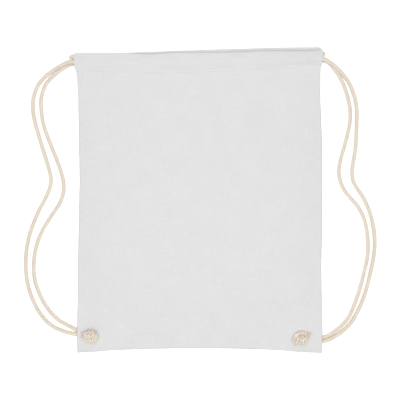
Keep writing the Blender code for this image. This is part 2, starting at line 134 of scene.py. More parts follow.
def soft_curve(points, reach):
    """A smooth function in metres that follows (value, result) points in millimetres, rounded over reach."""
    values, results = MM * np.array(points).T
    at = np.linspace(values[0], values[-1], 801)
    results = np.interp(at, values, results)
    count = max(3, int(MM * reach / (at[1] - at[0])))
    kernel = np.hanning(count + 2)
    padded = np.pad(results, count, mode="edge")
    smooth = np.convolve(padded, kernel / kernel.sum(), mode="same")[count:-count]
    return lambda value: np.interp(value, at, smooth)


left_edge = soft_curve((
    (-233, -186.8), (-190, -186.6), (-155, -186.6), (-120, -186.2), (-50, -185), (30, -183.4),
    (100, -184.6), (155, -185.6), (178, -186.2), (190, -187), (210, -188.6),
), 22)
right_edge = soft_curve((
    (-233, 185.2), (-185, 185.7), (-152, 185.6), (-100, 184.8), (-60, 185.7), (0, 186.4), (60, 186.4),
    (92, 186.1), (123, 184.7), (153, 183.4), (178, 182.8), (200, 183), (212, 184.2),
), 22)
front_fold_line = soft_curve((
    (-190, 223), (-120, 222.6), (-100, 222.2), (-74, 220.6), (-50, 222.2), (-37, 223.4), (37, 223.6),
    (55, 224.5), (75, 224.8), (92, 226.1), (165, 226.4), (173, 226.8), (179, 227.6), (190, 229.4),
), 20)
back_fold_line = soft_curve((
    (-190, 222.8), (-130, 222.8), (-107, 224.6), (-76.5, 225.9), (-31, 227.3), (15, 228.9), (61, 230.5),
    (107, 232.1), (153, 232.8), (190, 233.6),
), 24)

front_hem_line = soft_curve((
    (-190, 196.6), (-140, 195), (-88, 193.8), (-10, 193.7), (39, 195.5), (89, 198.1), (140, 203),
    (184, 206.8), (190, 207.2),
), 30)
front_casing_rise = soft_curve((
    (-190, 16), (0, 18), (100, 13), (150, 9.5), (170, 8.4), (190, 8.2),
), 30)


def side_distance(x, y):
    return np.minimum(x - left_edge(y), right_edge(y) - x)


def casing_lines(casing, x):
    """y of a casing's hem and of its fold at each x."""
    if casing == "front":
        return front_hem_line(x), front_fold_line(x)
    return between(BACK_HEM, x), back_fold_line(x)


def casing_floor(x, casing):
    return CASING_THICKNESS + GAP + MOUTH_GAP * arch(x, CASING_HALF_LENGTH) if casing == "front" else 0.0 * x


def front_underside(x, y):
    hem = front_hem_line(x)
    loft = BODY_LOFT * ease((y - bottom_edge(x)) / 0.110) * ease((distance_to_cords(x, y) - 0.014) / 0.030)
    body = layer_underside(x, y, 2) + loft * arch(x, BODY_HALF_WIDTH)
    share = ease((y - 0.120) / (hem - 0.120))
    return body + (casing_floor(x, "front") - body) * share


# ---- materials


class Nodes:
    """A material's node tree, with short ways to add nodes and join them."""

    def __init__(self, name):
        self.material = bpy.data.materials.new(name)
        self.material.use_nodes = True
        self.tree = self.material.node_tree
        self.shader = self.tree.nodes["Principled BSDF"]

    def add(self, kind, **settings):
        node = self.tree.nodes.new(kind)
        for key, value in settings.items():
            setattr(node, key, value)
        return node

    def put(self, socket, value):
        if isinstance(value, bpy.types.NodeSocket):
            self.tree.links.new(value, socket)
        else:
            socket.default_value = value

    def math(self, operation, a, b=None, clamp=False):
        node = self.add("ShaderNodeMath", operation=operation, use_clamp=clamp)
        self.put(node.inputs[0], a)
        if b is not None:
            self.put(node.inputs[1], b)
        return node.outputs[0]

    def noise(self, vector, scale, detail=2.0, rough=0.5):
        node = self.add("ShaderNodeTexNoise")
        self.put(node.inputs["Vector"], vector)
        node.inputs["Scale"].default_value = scale
        node.inputs["Detail"].default_value = detail
        node.inputs["Roughness"].default_value = rough
        return node.outputs["Fac"]

    def stretched(self, vector, sx, sy, sz=1.0):
        node = self.add("ShaderNodeVectorMath", operation="MULTIPLY")
        self.put(node.inputs[0], vector)
        node.inputs[1].default_value = (sx, sy, sz)
        return node.outputs[0]

    def ramp(self, value, low, high, out_low, out_high):
        node = self.add("ShaderNodeMapRange")
        self.put(node.inputs["Value"], value)
        for key, number in zip(("From Min", "From Max", "To Min", "To Max"), (low, high, out_low, out_high)):
            node.inputs[key].default_value = number
        return node.outputs["Result"]

    def total(self, value, *others, clamp=False):
        """The sum of all the values, kept within 0 and 1 if clamp is set."""
        for other in others[:-1]:
            value = self.math("ADD", value, other)
        return self.math("ADD", value, others[-1], clamp=clamp)

    def spread(self, noise, reach):
        """A noise's usual values, stretched to lie between -reach and reach."""
        return self.ramp(noise, 0.3, 0.7, -reach, reach)

    def cloth_uv(self):
        return self.add("ShaderNodeUVMap", uv_map="cloth").outputs["UV"]

    def split(self, vector):
        node = self.add("ShaderNodeSeparateXYZ")
        self.put(node.inputs[0], vector)
        return node.outputs

    def mix_colour(self, share, a, b):
        node = self.add("ShaderNodeMix", data_type="RGBA")
        self.put(node.inputs["Factor"], share)
        self.put(node.inputs["A"], a)
        self.put(node.inputs["B"], b)
        return node.outputs["Result"]

    def shade(self, name, value):
        """Puts a value or another node's output into one of the shader's sockets."""
        self.put(self.shader.inputs[name], value)

    def colours(self, share, first, second):
        """The base colour, from the first at a share of 0 to the second at 1."""
        self.shade("Base Color", self.mix_colour(share, (*first, 1.0), (*second, 1.0)))

    def bump(self, height, distance, strength):
        node = self.add("ShaderNodeBump")
        node.inputs["Strength"].default_value = strength
        node.inputs["Distance"].default_value = distance
        self.put(node.inputs["Height"], height)
        self.shade("Normal", node.outputs["Normal"])

    def soft_finish(self, sheen, sheen_roughness, specular):
        self.shade("Sheen Weight", sheen)
        self.shade("Sheen Roughness", sheen_roughness)
        self.shade("Specular IOR Level", specular)


def cloth_material(name, light, dark, pitch, weave_depth):
    """Plain-woven cotton. Its UVs are the cloth's own flat coordinates in metres."""
    n = Nodes(name)
    uv = n.cloth_uv()
    wobble = n.add("ShaderNodeTexNoise")
    wobble.inputs["Scale"].default_value = 260.0
    n.put(wobble.inputs["Vector"], uv)
    shift = n.add("ShaderNodeVectorMath", operation="MULTIPLY_ADD")
    n.put(shift.inputs[0], wobble.outputs["Color"])
    shift.inputs[1].default_value = (0.00035, 0.00035, 0.0)
    n.put(shift.inputs[2], uv)
    parts = n.split(shift.outputs[0])
    waves = [n.math("SINE", n.math("MULTIPLY", parts[k], math.pi / pitch)) for k in (0, 1)]
    over = n.math("GREATER_THAN", n.math("MULTIPLY", waves[0], waves[1]), 0.0)
    across, along = [n.math("ABSOLUTE", w) for w in waves]
    threads = []
    for (a, b), shown in (((0.75, 0.35), over), ((0.35, 0.75), n.math("SUBTRACT", 1.0, over))):
        thread = n.math("MULTIPLY", n.math("POWER", across, a), n.math("POWER", along, b))
        threads.append(n.math("MULTIPLY", thread, shown))
    weave = n.math("ADD", *threads)
    slub_up = n.noise(n.stretched(uv, 1500.0, 45.0), 1.0, 1.0)
    slub_across = n.noise(n.stretched(uv, 45.0, 1500.0), 1.0, 1.0)
    slubs = n.math("MAXIMUM", slub_up, slub_across)
    cloudy = n.noise(uv, 28.0, 3.0)
    fuzz = n.noise(uv, 5200.0, 2.0)
    # painted shade: the weave term darkens the gaps between threads; the slubs, cloudy and fuzz terms are the
    # cloth's own uneven tone
    share = n.total(
        n.ramp(weave, 0.0, 0.8, -0.55, 0.12), n.ramp(slubs, 0.45, 0.80, -0.12, 0.30),
        n.spread(cloudy, 0.06), n.spread(fuzz, 0.12), 0.75, clamp=True,
    )
    n.colours(share, dark, light)
    n.shade("Roughness", n.ramp(weave, 0.0, 1.0, 0.98, 0.84))
    height = n.total(weave, n.math("MULTIPLY", slubs, 0.6), n.math("MULTIPLY", fuzz, 0.25))
    n.bump(height, weave_depth, 0.55)
    n.soft_finish(0.12, 0.6, 0.15)
    return n.material


def cord_material(name, light, dark, inside):
    """Braided cotton cord. The mesh stores how high the braid stands, from 0 in its gaps to 1; the colour
    darkens where it is low, painted shade in the braid's grooves and holes.
    """
    n = Nodes(name)
    uv = n.cloth_uv()
    braid = n.add("ShaderNodeAttribute", attribute_name="braid").outputs["Fac"]
    fibres = n.noise(n.stretched(uv, 5200.0, 1300.0), 1.0, 3.0, 0.6)
    cloudy = n.noise(uv, 90.0, 2.0)
    # painted shade: the low braid heights of the grooves and holes take the dark colour
    tone = n.ramp(braid, -0.45, 0.60, 0.0, 1.0)
    share = n.total(tone, n.spread(fibres, 0.16), n.spread(cloudy, 0.10), clamp=True)
    colour = n.mix_colour(share, (*dark, 1.0), (*light, 1.0))
    # painted deep shade: braid heights below -0.5, deep in grooves and in the knot's hollows, take the inside
    # colour
    colour = n.mix_colour(n.ramp(braid, -1.2, -0.5, 1.0, 0.0), colour, (*inside, 1.0))
    n.shade("Base Color", colour)
    n.shade("Roughness", n.ramp(fibres, 0.3, 0.7, 0.80, 0.95))
    n.bump(fibres, 0.00012, 0.6)
    n.soft_finish(0.15, 0.5, 0.2)
    return n.material


def thread_material(name, light, dark):
    """Sewing thread, two plies twisted together, with the thread's length along V; the colour darkens in the
    grooves between the plies, painted shade.
    """
    n = Nodes(name)
    uv = n.cloth_uv()
    across, along = n.split(uv)[:2]
    slant = n.total(n.math("MULTIPLY", across, 6000.0), n.math("MULTIPLY", along, 9000.0))
    ply = n.math("ABSOLUTE", n.math("SINE", slant))
    fuzz = n.noise(uv, 4000.0, 2.0)
    # painted shade: the colour is darker where the plies meet
    n.colours(n.total(n.ramp(ply, 0.0, 0.8, 0.2, 0.9), n.spread(fuzz, 0.1), clamp=True), dark, light)
    n.bump(ply, 0.00005, 0.6)
    n.shade("Roughness", n.ramp(fuzz, 0.3, 0.7, 0.55, 0.75))
    return n.material


def metal_material(name):
    """Nickel-plated steel, worn duller in patches and finely scratched."""
    n = Nodes(name)
    place = n.add("ShaderNodeTexCoord").outputs["Object"]
    wear = n.noise(place, 420.0, 4.0, 0.6)
    scratches = n.noise(n.stretched(place, 600.0, 6000.0, 600.0), 1.0, 2.0)
    n.colours(n.ramp(wear, 0.35, 0.7, 0.0, 1.0), (0.66, 0.65, 0.62), (0.48, 0.46, 0.42))
    n.shade("Roughness", n.total(n.ramp(wear, 0.3, 0.7, 0.22, 0.42), n.ramp(scratches, 0.4, 0.7, 0.0, 0.12)))
    n.bump(scratches, 0.00003, 0.5)
    n.shade("Metallic", 1.0)
    return n.material


# The cotton's dark colour serves both the painted shade between threads and the cloth's own uneven tone.
COTTON = cloth_material("cotton_canvas", (0.800, 0.800, 0.800), (0.63, 0.63, 0.632), 0.00066, 0.00022)
# The cord's dark colour and its darkest colour are painted shade in the braid's grooves and deep hollows.
CORD = cord_material("braided_cotton_cord", (0.865, 0.785, 0.680), (0.43, 0.335, 0.225), (0.17, 0.115, 0.065))
# The thread's dark colour is painted shade between its plies.
THREAD = thread_material("white_sewing_thread", (0.90, 0.90, 0.90), (0.72, 0.72, 0.725))
METAL = metal_material("nickel_plated_eyelet")

# ---- mesh building


def mesh_object(name, points, faces, material, uv=None, braid=None, normals=None):
    """A smooth mesh from points, rows of four corners, and per-point UVs, braid heights and normals."""
    used, corners = np.unique(faces, return_inverse=True)
    corners = corners.reshape(faces.shape)
    mesh = bpy.data.meshes.new(name)
    mesh.vertices.add(len(used))
    mesh.vertices.foreach_set("co", points[used].astype(np.float32).ravel())
    mesh.loops.add(corners.size)
    mesh.loops.foreach_set("vertex_index", corners.ravel().astype(np.int32))
    mesh.polygons.add(len(corners))
    mesh.polygons.foreach_set("loop_start", np.arange(0, corners.size, corners.shape[1], dtype=np.int32))
    mesh.polygons.foreach_set("use_smooth", np.ones(len(corners), bool))
    mesh.update(calc_edges=True)
    if uv is not None:
        layer = mesh.uv_layers.new(name="cloth")
        layer.data.foreach_set("uv", uv[used][corners.ravel()].astype(np.float32).ravel())
    if braid is not None:
        attribute = mesh.attributes.new("braid", "FLOAT", "POINT")
        attribute.data.foreach_set("value", braid[used].astype(np.float32))
    mesh.validate()
    if normals is not None:
        mesh.normals_split_custom_set_from_vertices(normals[used])
    mesh.materials.append(material)
    obj = bpy.data.objects.new(name, mesh)
    bpy.context.scene.collection.objects.link(obj)
    return obj


def unit(v):
    return v / np.maximum(np.linalg.norm(v, axis=-1, keepdims=True), 1e-12)


def grid_normals(grid, wrap=False):
    """Normals of a (rows, columns, 3) grid whose columns run along +X and rows along +Y on an upward face."""
    if wrap:
        along_rows = np.roll(grid, -1, 0) - np.roll(grid, 1, 0)
    else:
        along_rows = np.gradient(grid, axis=0)
    return unit(np.cross(np.gradient(grid, axis=1), along_rows))


def sheet_object(name, top, normals, uv, material, thickness=CLOTH, wrap=False, kept=None):
    """One layer of cloth as a closed mesh: its top is the grid, its underside lies thickness below."""
    rows, columns = top.shape[:2]
    index = np.arange(rows * columns).reshape(rows, columns)
    if wrap:
        index = np.concatenate([index, index[:1]])
    a, b, c, d = index[:-1, :-1], index[:-1, 1:], index[1:, 1:], index[1:, :-1]
    if kept is None:
        kept = np.ones(a.shape, bool)
    count = rows * columns
    faces = [np.stack([a, b, c, d], -1)[kept], np.stack([a, d, c, b], -1)[kept] + count]
    outside = np.pad(kept, 1)
    if wrap:
        outside[0], outside[-1] = outside[-2], outside[1]
    neighbours = (
        (a, b, outside[:-2, 1:-1]), (b, c, outside[1:-1, 2:]),
        (c, d, outside[2:, 1:-1]), (d, a, outside[1:-1, :-2]),
    )
    for p, q, neighbour in neighbours:
        rim = kept & ~neighbour
        faces.append(np.stack([q, p, p + count, q + count], -1)[rim])
    points = np.concatenate([top.reshape(-1, 3), (top - normals * thickness).reshape(-1, 3)])
    both_normals = np.concatenate([normals.reshape(-1, 3), -normals.reshape(-1, 3)])
    both_uv = np.concatenate([uv.reshape(-1, 2)] * 2)
    return mesh_object(name, points, np.concatenate(faces), material, both_uv, normals=both_normals)


def flat_sheet(name, node, grid, kept=None):
    """A sheet that stays with the bag's body; its flat coordinates are its own x and y."""
    return on_bag(sheet_object(name, grid, grid_normals(grid), grid[..., :2], COTTON, kept=kept), node)


def smooth_line(points, spacing):
    """Points spacing apart along a smooth curve through the given points."""
    p = np.array(points, float)
    p = np.concatenate([[2 * p[0] - p[1]], p, [2 * p[-1] - p[-2]]])
    t = (np.arange(24) / 24)[:, None]
    fine = []
    for a, b, c, d in zip(p, p[1:], p[2:], p[3:]):
        bend, twist = 2 * a - 5 * b + 4 * c - d, 3 * b - a - 3 * c + d
        fine.append(0.5 * (2 * b + (c - a) * t + bend * t**2 + twist * t**3))
    fine = np.concatenate([*fine, [p[-2]]])
    reached = along_line(fine)
    want = np.linspace(0, reached[-1], max(3, round(reached[-1] / spacing) + 1))
    return np.stack([np.interp(want, reached, fine[:, k]) for k in range(3)], -1)


def line_frames(line):
    """Sides and ups along a line, that never twist about it."""
    tangents = unit(np.gradient(line, axis=0))
    first = np.cross(tangents[0], (0, 0, 1.0))
    if np.linalg.norm(first) < 0.2:
        first = np.array((1.0, 0, 0))
    sides, side = [], first
    for t in tangents:
        side = side - t * side.dot(t)
        side /= np.linalg.norm(side)
        sides.append(side)
    sides = np.array(sides)
    return sides, np.cross(sides, tangents)


BRAID_RIBS = 5
BRAID_PITCH = 0.0033
AROUND = 30
LUMP_PITCH = 0.0060
LUMP_SHADE = 0.0006
END_SHARES = (0.45, 0.80, 0.95)
CORD_GIRTH = 0.0157


def braid_height(turn, along):
    """How high the braid stands at a turn of 0 to 1 round the cord and a distance along it, from 0 to 1."""
    a = BRAID_RIBS * turn + along / BRAID_PITCH
    b = BRAID_RIBS * turn - along / BRAID_PITCH
    over = (np.floor(a) + np.floor(b)) % 2 < 1
    across = np.where(over, a, b) % 1
    lengthwise = np.where(over, b, a) % 1
    rib = 1 - np.abs(2 * across - 1) ** 2.4
    from_a, from_b = np.abs((a + 0.5) % 1 - 0.5), np.abs((b + 0.5) % 1 - 0.5)
    hole = np.exp(-(from_a**2 + from_b**2) / 0.045)
    return rib * (0.45 + 0.55 * np.sin(np.pi * lengthwise)) - 0.8 * hole


def tube_parts(line, radius, relief=0.00040, around=AROUND, phase=0.0, round_ends=True, lumps=0.0):
    """Points, faces, UVs and braid heights of a braided tube along a line; radius may vary along it."""
    sides, ups = line_frames(line)
    along = along_line(line)
    radii = np.broadcast_to(radius, along.shape)
    turn = (np.arange(around) + 0.5) / around
    place = along[:, None] + phase
    height = braid_height(turn, place)
    coarse = place / LUMP_PITCH
    wave = np.sin(2 * np.pi * (2 * turn + coarse)) * np.sin(2 * np.pi * (2 * turn - coarse))
    slow = 1 + 0.012 * np.sin(along / 0.0093 + phase * 500) + 0.010 * np.sin(along / 0.0237 + 1.0)
    reach = (radii * slow)[:, None] + relief * (height - 0.45) + lumps * wave
    # The lumps darken the braid heights in their hollows too: painted shade.
    height = height + wave * lumps / LUMP_SHADE
    if round_ends:
        for k, share in enumerate(END_SHARES):
            reach[k] *= share
            reach[-1 - k] *= share
    angle = 2 * np.pi * turn
    across, up = (np.cos(angle) * reach)[..., None], (np.sin(angle) * reach)[..., None]
    points = line[:, None] + sides[:, None] * across + ups[:, None] * up
    rings = len(line)
    index = np.arange(rings * around).reshape(rings, around)
    nxt = np.roll(index, -1, 1)
    faces = np.stack([index[:-1], index[1:], nxt[1:], nxt[:-1]], -1).reshape(-1, 4)
    points = points.reshape(-1, 3)
    uv = np.stack(np.broadcast_arrays(turn * CORD_GIRTH, place), -1).reshape(-1, 2)
    height = height.reshape(-1)
    centres = np.array([line[0], line[-1]])
    caps = []
    for which, ring in ((0, index[0]), (1, index[-1][::-1])):
        middle = len(points) + which
        for k in range(0, around, 2):
            caps.append((ring[k], ring[(k + 1) % around], ring[(k + 2) % around], middle))
    points = np.concatenate([points, centres])
    uv = np.concatenate([uv, [(0.0, 0.0), (0.0, along[-1])]])
    height = np.concatenate([height, [0.3, 0.3]])
    return points, np.concatenate([faces, np.array(caps)]), uv, height


def joined(parts):
    """Several (points, faces, uv, braid) parts as one."""
    offsets = np.cumsum([0] + [len(p[0]) for p in parts])
    points, faces, uv, braid = zip(*parts)
    faces = [f + o for f, o in zip(faces, offsets)]
    return [np.concatenate(each) for each in (points, faces, uv, braid)]


def cord_object(name, parts):
    points, faces, uv, braid = joined(parts)
    obj = mesh_object(name, points, faces, CORD, uv, braid)
    return obj


def on_bag(obj, node):
    """A piece that stays with the bag's body and stands for one of its nodes."""
    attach(obj, "bag")
    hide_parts(node)
    return obj


def up_to_front(obj):
    """Bakes the piece's placement into its mesh."""
    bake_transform(obj)
    return obj


# ---- camera, light and floor

LENS_MM = 85.0
SENSOR_MM = 36.0
CAMERA_PLACE = (0.0, 0.0006, 1.445)
WORLD_STRENGTH = 0.50
KEY_PLACE = (0.0, -0.06, 1.65)
KEY_SIZE = 1.4
KEY_POWER = 18.7
FLOOR_REACH = 14.0
FLOOR_Z = -0.0002
FLOOR_GLOW = 0.22


def look_at(obj, target):
    obj.rotation_euler = (Vector(target) - obj.location).to_track_quat("-Z", "Y").to_euler()


def make_camera():
    data = bpy.data.cameras.new("camera")
    data.lens = LENS_MM
    data.sensor_width = SENSOR_MM
    data.clip_start = 0.05
    camera = bpy.data.objects.new("camera", data)
    camera.location = CAMERA_PLACE
    bpy.context.scene.collection.objects.link(camera)
    bpy.context.scene.camera = camera


def area_light(name, location, target, size, power):
    data = bpy.data.lights.new(name, "AREA")
    data.shape = "DISK"
    data.size = size
    data.energy = power
    light = bpy.data.objects.new(name, data)
    light.location = location
    bpy.context.scene.collection.objects.link(light)
    look_at(light, target)


def make_studio():
    world = bpy.data.worlds.new("studio")
    bpy.context.scene.world = world
    world.use_nodes = True
    background = world.node_tree.nodes["Background"]
    background.inputs["Color"].default_value = (1.0, 1.0, 1.0, 1.0)
    background.inputs["Strength"].default_value = WORLD_STRENGTH
    area_light("key", KEY_PLACE, (0.0, 0.0, 0.0), KEY_SIZE, KEY_POWER)
    n = Nodes("plain_floor")
    grain = n.noise(n.add("ShaderNodeTexCoord").outputs["Object"], 60.0, 2.0)
    n.colours(grain, (0.93, 0.93, 0.93), (0.95, 0.95, 0.95))
    n.shade("Roughness", 0.9)
    n.shade("Emission Color", (1.0, 1.0, 1.0, 1.0))
    n.shade("Emission Strength", FLOOR_GLOW)
    corners = FLOOR_REACH * np.array([(-1, -1, 0), (1, -1, 0), (1, 1, 0), (-1, 1, 0)], float)
    floor = mesh_object("floor", corners, np.array([[0, 1, 2, 3]]), n.material)
    floor.location.z = FLOOR_Z
    bpy.context.scene.view_settings.view_transform = "Standard"


make_camera()
make_studio()

# ---- cords

RING_SPACING = 0.00055


def route(z, *points):
    """A cord's route in metres, from points in millimetres; a point without a height lies at z."""
    return [tuple(MM * v for v in (*p, z)[:3]) for p in points]


OUTER_STRANDS = {
    "left": route(
        2.6,
        (-178, 210.4, 12.8), (-188.3, 210.4, 12.8), (-193.5, 210.3, 12.3), (-201.7, 209.2, 9),
        (-210.9, 205.8, 5.6), (-220.1, 200.9, 3.3), (-229.2, 194.6), (-238.4, 187), (-248.1, 174.3),
        (-254.4, 155.9), (-255.1, 137.5), (-251.9, 119.2), (-246.8, 100.8), (-235.6, 64.1), (-229.5, 44),
        (-227.5, 31), (-229.6, 18.2), (-236.5, 2), (-247, -18), (-258.2, -46.1), (-264.5, -73),
        (-266.2, -100), (-263.7, -125), (-257.3, -147), (-248, -166.5), (-237, -181.7), (-224.5, -192.2),
        (-210.9, -198.8), (-196.6, -203.1), (-187, -204.3), (-176, -206.8), (-162, -209.8),
    ),
    "right": route(
        2.8,
        (178, 213.6, 12.8), (188.3, 213.6, 12.8), (193.5, 211.3, 12.2), (200, 207.7, 9.6), (208, 202.3, 6),
        (216, 194.6, 3.5), (223.5, 185.8), (230, 174.3), (236.5, 155.9), (239.4, 137.5), (239.2, 119.2),
        (238.7, 100.8), (237.5, 80), (234.8, 63), (232.3, 45.7), (233.5, 31), (240, 18.2), (250, 3),
        (258, -15), (264.3, -38), (266.8, -64.4), (264.5, -90), (259.1, -115), (253.2, -137.9),
        (246.5, -157), (238, -174.6), (230.4, -187), (221.4, -196.6), (212, -204.1), (202.5, -209.8, 2.7),
        (194, -213.6, 2.7), (187, -215.2, 2.7), (172, -212.6, 2.6), (154, -210.8, 2.6),
    ),
}
INNER_STRANDS = {
    "left": route(
        2.6,
        (-188.3, 209.4, 3.6), (-194, 208.6, 3.3), (-201.7, 206, 2.7), (-210.9, 200.2), (-220.1, 193),
        (-229.2, 184.5), (-236.7, 174.3), (-242.3, 155.9), (-242.2, 137.5), (-239.5, 119.2), (-234, 100.8),
        (-219.6, 64.1), (-212.3, 44), (-208.3, 26), (-208.7, 11), (-214.5, -5), (-227.1, -24),
        (-240.5, -46.1), (-250, -71), (-253.9, -98), (-252, -122), (-244.5, -144), (-233.5, -163.5),
        (-220.1, -179), (-207.5, -187.5), (-196.6, -193.3), (-187, -198.4), (-176, -201.4), (-162, -204.3),
    ),
    "right": route(
        2.8,
        (188.3, 213.6, 3.6), (194, 211.8, 3.4), (200.8, 205.7, 2.9), (206.2, 198.6), (212.2, 190.4),
        (216.4, 182), (220.3, 173.5), (225.7, 155.9), (229.1, 137.5), (228.8, 119.2), (225, 100.8),
        (219.8, 80), (214.7, 63), (212, 45.7), (213.9, 31), (219.2, 17.5), (229.3, 4), (240.8, -9.3),
        (250.6, -29), (255.6, -54), (256.1, -81), (252, -103), (245.9, -128), (238.5, -151), (230, -172.5),
        (223.8, -182.6), (217, -190.3), (208.8, -197.5), (199.9, -204), (193, -207.6, 2.7),
        (187, -209, 2.7), (172, -206.2, 2.6), (154, -205.3, 2.6),
    ),
}
FRONT_RUN = 0.1815
# Each cord turns round outside the far end of the casings.
CORD_TURNS = {
    "left": route(
        3.6,
        (180, 219.6, 12.8), (184.2, 220.2, 12.6), (186.8, 221.4, 11), (187.7, 222.8, 8.2),
        (186.8, 224, 5.6), (184.2, 224.6, 3.8), (179, 224.2),
    ),
    "right": route(
        3.6,
        (-184, 217.6, 12.8), (-188.3, 217.6, 12.8), (-191.6, 217.5, 12.7), (-194.8, 217.6, 11),
        (-196, 217.9, 8.2), (-194.8, 218.2, 5.4), (-191.6, 218.5, 3.7), (-187, 218.6),
    ),
}
# How far a cord lies from the fold at the casing's left end and at its right end.
CORD_TO_FOLD = {
    ("left", "front"): (0.0118, 0.0040),
    ("right", "front"): (0.0046, 0.0098),
    ("left", "back"): (0.0141, 0.0075),
    ("right", "back"): (0.0049, 0.0179),
}


def cord_in_casing(side, casing, x):
    """The route of one cord in one casing at each x, and its radius there."""
    folds = FRONT_FOLD if casing == "front" else BACK_FOLD
    left, right = CORD_TO_FOLD[(side, casing)]
    to_fold = left + (right - left) * ease((x + 0.045) / 0.090)
    radius = CORD_RADIUS - (CORD_RADIUS - SQUEEZED_RADIUS) * crossing(x)
    z = casing_floor(x, casing) + CLOTH + GAP + radius
    if side == "right":
        z = z + (2 * SQUEEZED_RADIUS + GAP) * crossing(x)
    return np.stack([x, between(folds, x) - to_fold, z], -1), radius


def full_radius(line):
    """The radius of a cord whose line runs through the casings, squeezed where the two cross."""
    inside = ease((line[:, 1] - 0.150) / 0.020)
    free = ease((np.abs(line[:, 0]) - 0.1855) / 0.004)
    thicker = (FREE_CORD_RADIUS - CORD_RADIUS) * free
    return CORD_RADIUS + thicker - (CORD_RADIUS - SQUEEZED_RADIUS) * crossing(line[:, 0]) * inside


def make_strand(side, strand, points, nodes):
    line = smooth_line(points, RING_SPACING)
    radius = full_radius(line)
    line[:, 2] = np.maximum(line[:, 2], radius + 0.0001)
    obj = cord_object(f"{side}_cord_{strand}", [tube_parts(line, radius)])
    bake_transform(obj)
    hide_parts(*[f"{side}_{node}" for node in nodes])


def make_cords(knots):
    for side, sign in SIDES.items():
        in_back = cord_in_casing(side, "back", sign * np.linspace(-0.172, 0.1790, 26))[0]
        make_strand(
            side, "outer_strand", OUTER_STRANDS[side], ("outer_strand", "outer_cord_end"),
        )
        make_strand(
            side, "turn_and_inner_strand", (*CORD_TURNS[side], *in_back, *INNER_STRANDS[side]),
            ("cord_turn", "cord_in_back_casing", "inner_strand", "inner_cord_end"),
        )
    for side in SIDES:
        for half, ends in (("left", (-FRONT_RUN, 0.0)), ("right", (0.0, FRONT_RUN))):
            line, radius = cord_in_casing(side, "front", np.linspace(*ends, 330))
            name = f"{side}_cord_in_front_casing_{half}_half"
            obj = up_to_front(cord_object(name, [tube_parts(line, radius, round_ends=False)]))
            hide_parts(f"{side}_cord_in_front_casing")


# ---- knots

KNOT_MIDDLE_Z = 0.0192
# The lowest that a knot's cords and yarns lie, on the eyelet's flange, from the knot's centre.
KNOT_REST_Z = FLANGE_TOP + 0.0004 - KNOT_MIDDLE_Z
KNOT_SEEDS = {"left": 11, "right": 23}
# The two strands of a knot's neck stand side by side in the eyelet's hole.
NECK_RADIUS = 0.00215
NECK_OFFSET = 0.00222
NECK_BOTTOM = 0.0040
NECK_TOP = 0.0170
YARN_LENGTH_MM = 4.6
# Each knot's tubes in millimetres from the knot's centre: (radius, points).
KNOT_TUBES = {
    "left": (
        (2.6, ((-8.6, 2.6, -4.2), (-9.6, -0.6, -4), (-8.2, -4, -3.6), (-4.8, -6.8, -3.3), (0.2, -7.8, -3),
               (5.2, -6.8, -3.1), (8.4, -3.9, -3.5), (9, 0, -3.8), (7.6, 3.6, -4.2))),
        (2.5, ((-7.6, -1.6, -2.6), (-5.2, -4.4, 0), (-0.6, -5.2, 1.2), (4.2, -4.4, 1), (6.8, -1.6, 0),
               (6.2, 1.8, -1.4))),
    ),
    "right": (
        (2.7, ((-9.2, -8, -4), (-10.4, -4.8, -3.9), (-10, -0.8, -3.8), (-7.6, 3.6, -3.4), (-3.4, 6.6, -3),
               (1.6, 7.3, -2.8), (6.2, 6, -3), (8.9, 2.8, -3.4), (8.4, -1, -3.6), (6.6, -4.2, -3.8),
               (4.6, -6.4, -4.2))),
        (3.7, ((0.6, 1.2, -3), (0.9, 0.4, 0.8), (1, -1.8, 3.5), (1, -4.4, 2), (0.6, -6, -2.2))),
        (2.5, ((-7, -9, -4.2), (-6.8, -6.6, -1.6), (-5.8, -3.6, 0.6), (-5.2, -0.6, 0.6), (-5.6, 2.6, -1.2))),
        (2.3, ((4.4, -8.2, -4.2), (4.6, -6.6, -2), (5.4, -3.6, 0.2), (6, -0.6, 0.6), (5.6, 2.2, -0.4))),
        (2.2, ((-3.8, -8, -4.2), (-3.4, -6.6, -2.2), (-3, -4, -0.6), (-3.2, -1.6, -1.2))),
    ),
}
# A dark tube round the eyelet's hole, under the knot's cords: painted shade deep inside the knot.
KNOT_SHADE_TUBE = (2.6, (
    (-6, -4, -4), (0, -5, -3.9), (5.5, -1.5, -3.9), (4.5, 4, -3.9), (-2, 4.5, -4.1),
    (-5.5, 0.5, -4.1), (-1, -1, -3.6), (2, 1, -3.8),
))
# Ends of braid picked apart into yarns: (centre, reaches along x, y and z, yarns, lowest y, yarn radius).
KNOT_TUFTS = {
    "left": (((-0.8, 2.2, -6.2), (10.6, 8.6, 11.8), 48, -4.4, 1.36),),
    "right": (
        ((-7.4, 3, -4), (4.6, 5, 4), 9, -9, 1.35),
        ((-9.6, -7.6, -4), (2.2, 3, 2.2), 5, -20, 1.25),
    ),
}
